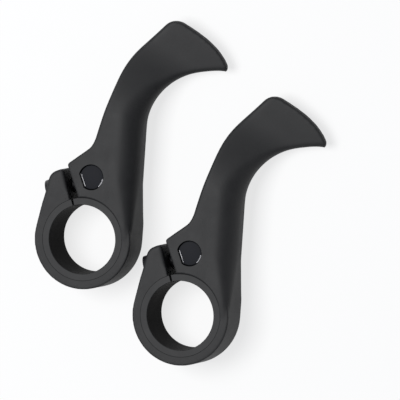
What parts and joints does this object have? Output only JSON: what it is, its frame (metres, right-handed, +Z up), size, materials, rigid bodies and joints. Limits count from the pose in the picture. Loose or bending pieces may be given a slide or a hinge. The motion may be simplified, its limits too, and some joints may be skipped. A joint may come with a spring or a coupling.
{
  "type": "bar end grips",
  "caption": "Clamp-on bar end grips with curved, flattened horns; each split clamp ring is lined with a sleeve and closed by a bolt and a barrel nut.",
  "frame": {"origin": "foot of the first grip's bore axis, on the surface that the pair lies on", "axes": "+Z up along that bore axis, towards the barrel nuts' open ends; +Y the way the horns reach; +X the way their ends bend"},
  "size_m": [0.0941, 0.1099, 0.0169],
  "materials": {
    "horn_plastic": "matt black moulding with a fine even grain",
    "sleeve_plastic": "matt black, smooth inside",
    "black_steel": "black oxide, low sheen",
    "nut_steel": "glossy black with a bright turned rim"
  },
  "bodies": {
    "grip_1": {"horn_1": "horn_plastic", "sleeve_1": "sleeve_plastic", "barrel_nut_1": "nut_steel"},
    "washer_1": {"washer_1": "black_steel"},
    "clamp_bolt_1": {"clamp_bolt_1": "black_steel"},
    "grip_2": {"horn_2": "horn_plastic", "sleeve_2": "sleeve_plastic", "barrel_nut_2": "nut_steel"},
    "washer_2": {"washer_2": "black_steel"},
    "clamp_bolt_2": {"clamp_bolt_2": "black_steel"}
  },
  "joints": [
    {"name": "washer_1_slide", "type": "slide", "parent": "grip_1", "child": "washer_1", "axis": [-0.9455, -0.3256, 0], "range_m": [0, 0.0028]},
    {"name": "clamp_bolt_1_turn", "type": "hinge", "parent": "washer_1", "child": "clamp_bolt_1", "pos_m": [0.00328, 0.01996, 0.008], "axis": [-0.9455, -0.3256, 0], "range_deg": [0, 1260]},
    {"name": "washer_2_slide", "type": "slide", "parent": "grip_2", "child": "washer_2", "axis": [-0.9455, -0.3256, 0], "range_m": [0, 0.0028]},
    {"name": "clamp_bolt_2_turn", "type": "hinge", "parent": "washer_2", "child": "clamp_bolt_2", "pos_m": [0.03608, -0.00384, 0.008], "axis": [-0.9455, -0.3256, 0], "range_deg": [0, 1260]},
    {"name": "second_grip_lift", "type": "slide", "parent": "grip_1", "child": "grip_2", "axis": [0, 0, 1], "range_m": [0, 0.03]}
  ],
  "couplings": [
    {"joint": "clamp_bolt_1_turn", "follows": "washer_1_slide", "rad_per_m": 7854},
    {"joint": "clamp_bolt_2_turn", "follows": "washer_2_slide", "rad_per_m": 7854}
  ]
}
